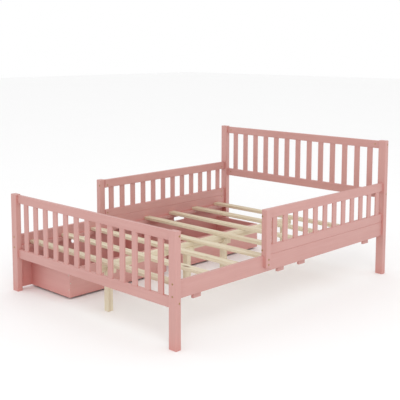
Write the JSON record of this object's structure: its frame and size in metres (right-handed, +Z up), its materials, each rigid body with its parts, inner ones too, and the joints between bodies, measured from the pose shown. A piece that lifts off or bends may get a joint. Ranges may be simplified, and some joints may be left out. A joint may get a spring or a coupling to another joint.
{
  "type": "toddler bed",
  "caption": "Low slatted platform bed with slatted headboard and footboard, guard rails along the head half, and wheeled drawers under one side.",
  "frame": {"origin": "on the floor under the middle of the bed", "axes": "+Y towards the headboard, +X towards the bed's right side, +Z up; the drawers pull out towards -X"},
  "size_m": [1.484, 1.982, 0.906],
  "materials": {
    "pink_wood": "satin pink paint on solid wood, eased edges",
    "pink_drawer_wood": "satin pink paint on drawer boards",
    "drawer_board": "thin painted board",
    "pine": "unfinished planed pine with fine grain",
    "bronzed_steel": "bronze-plated furniture bolts and cross nuts",
    "steel": "zinc-plated screws and pins",
    "grey_wheel": "moulded mid-grey nylon",
    "grey_plastic_fork": "moulded dark grey nylon"
  },
  "bodies": {
    "bed": {"barrel_nuts": "bronzed_steel", "base_screws": "steel", "centre_beam": "pine", "centre_leg_1": "pine", "centre_leg_2": "pine", "centre_leg_3": "pine", "centre_leg_4": "pine", "end_board_bolts": "bronzed_steel", "foot_bottom_rail": "pink_wood", "foot_post_left": "pink_wood", "foot_post_right": "pink_wood", "foot_slats": "pink_wood", "foot_top_rail": "pink_wood", "guard_lower_rail_left": "pink_wood", "guard_lower_rail_right": "pink_wood", "guard_post_left": "pink_wood", "guard_post_right": "pink_wood", "guard_rail_bolts": "bronzed_steel", "guard_slats_left": "pink_wood", "guard_slats_right": "pink_wood", "guard_top_rail_left": "pink_wood", "guard_top_rail_right": "pink_wood", "head_lower_rail": "pink_wood", "head_post_left": "pink_wood", "head_post_right": "pink_wood", "head_slats": "pink_wood", "head_top_rail": "pink_wood", "leg_cleats": "pine", "mattress_slats": "pine", "rail_blocks": "pink_wood", "side_rail_bolts": "bronzed_steel", "side_rail_left": "pink_wood", "side_rail_right": "pink_wood", "slat_ledge_left": "pink_wood", "slat_ledge_right": "pink_wood"},
    "drawer_foot": {"drawer_foot_axles": "steel", "drawer_foot_back": "pink_drawer_wood", "drawer_foot_bottom": "drawer_board", "drawer_foot_front": "pink_drawer_wood", "drawer_foot_screws": "steel", "drawer_foot_side_foot": "pink_drawer_wood", "drawer_foot_side_head": "pink_drawer_wood", "drawer_foot_wheel_forks": "grey_plastic_fork"},
    "drawer_foot_wheel_1": {"drawer_foot_wheel_1": "grey_wheel"},
    "drawer_foot_wheel_2": {"drawer_foot_wheel_2": "grey_wheel"},
    "drawer_foot_wheel_3": {"drawer_foot_wheel_3": "grey_wheel"},
    "drawer_foot_wheel_4": {"drawer_foot_wheel_4": "grey_wheel"},
    "drawer_head": {"drawer_head_axles": "steel", "drawer_head_back": "pink_drawer_wood", "drawer_head_bottom": "drawer_board", "drawer_head_front": "pink_drawer_wood", "drawer_head_screws": "steel", "drawer_head_side_foot": "pink_drawer_wood", "drawer_head_side_head": "pink_drawer_wood", "drawer_head_wheel_forks": "grey_plastic_fork"},
    "drawer_head_wheel_1": {"drawer_head_wheel_1": "grey_wheel"},
    "drawer_head_wheel_2": {"drawer_head_wheel_2": "grey_wheel"},
    "drawer_head_wheel_3": {"drawer_head_wheel_3": "grey_wheel"},
    "drawer_head_wheel_4": {"drawer_head_wheel_4": "grey_wheel"}
  },
  "joints": [
    {"name": "drawer_foot_slide", "type": "slide", "parent": "bed", "child": "drawer_foot", "axis": [-1, 0, 0], "range_m": [0, 0.38]},
    {"name": "drawer_foot_wheel_1_spin", "type": "hinge", "parent": "drawer_foot", "child": "drawer_foot_wheel_1", "pos_m": [-0.682, -0.8375, 0.0125], "axis": [0, 1, 0], "continuous": true},
    {"name": "drawer_foot_wheel_2_spin", "type": "hinge", "parent": "drawer_foot", "child": "drawer_foot_wheel_2", "pos_m": [-0.682, -0.1175, 0.0125], "axis": [0, 1, 0], "continuous": true},
    {"name": "drawer_foot_wheel_3_spin", "type": "hinge", "parent": "drawer_foot", "child": "drawer_foot_wheel_3", "pos_m": [-0.345, -0.8375, 0.0125], "axis": [0, 1, 0], "continuous": true},
    {"name": "drawer_foot_wheel_4_spin", "type": "hinge", "parent": "drawer_foot", "child": "drawer_foot_wheel_4", "pos_m": [-0.345, -0.1175, 0.0125], "axis": [0, 1, 0], "continuous": true},
    {"name": "drawer_head_slide", "type": "slide", "parent": "bed", "child": "drawer_head", "axis": [-1, 0, 0], "range_m": [0, 0.38]},
    {"name": "drawer_head_wheel_1_spin", "type": "hinge", "parent": "drawer_head", "child": "drawer_head_wheel_1", "pos_m": [-0.682, 0.1175, 0.0125], "axis": [0, 1, 0], "continuous": true},
    {"name": "drawer_head_wheel_2_spin", "type": "hinge", "parent": "drawer_head", "child": "drawer_head_wheel_2", "pos_m": [-0.682, 0.8375, 0.0125], "axis": [0, 1, 0], "continuous": true},
    {"name": "drawer_head_wheel_3_spin", "type": "hinge", "parent": "drawer_head", "child": "drawer_head_wheel_3", "pos_m": [-0.345, 0.1175, 0.0125], "axis": [0, 1, 0], "continuous": true},
    {"name": "drawer_head_wheel_4_spin", "type": "hinge", "parent": "drawer_head", "child": "drawer_head_wheel_4", "pos_m": [-0.345, 0.8375, 0.0125], "axis": [0, 1, 0], "continuous": true}
  ],
  "couplings": [
    {"joint": "drawer_foot_wheel_1_spin", "follows": "drawer_foot_slide", "rad_per_m": -81.633},
    {"joint": "drawer_foot_wheel_2_spin", "follows": "drawer_foot_slide", "rad_per_m": -81.633},
    {"joint": "drawer_foot_wheel_3_spin", "follows": "drawer_foot_slide", "rad_per_m": -81.633},
    {"joint": "drawer_foot_wheel_4_spin", "follows": "drawer_foot_slide", "rad_per_m": -81.633},
    {"joint": "drawer_head_wheel_1_spin", "follows": "drawer_head_slide", "rad_per_m": -81.633},
    {"joint": "drawer_head_wheel_2_spin", "follows": "drawer_head_slide", "rad_per_m": -81.633},
    {"joint": "drawer_head_wheel_3_spin", "follows": "drawer_head_slide", "rad_per_m": -81.633},
    {"joint": "drawer_head_wheel_4_spin", "follows": "drawer_head_slide", "rad_per_m": -81.633}
  ]
}
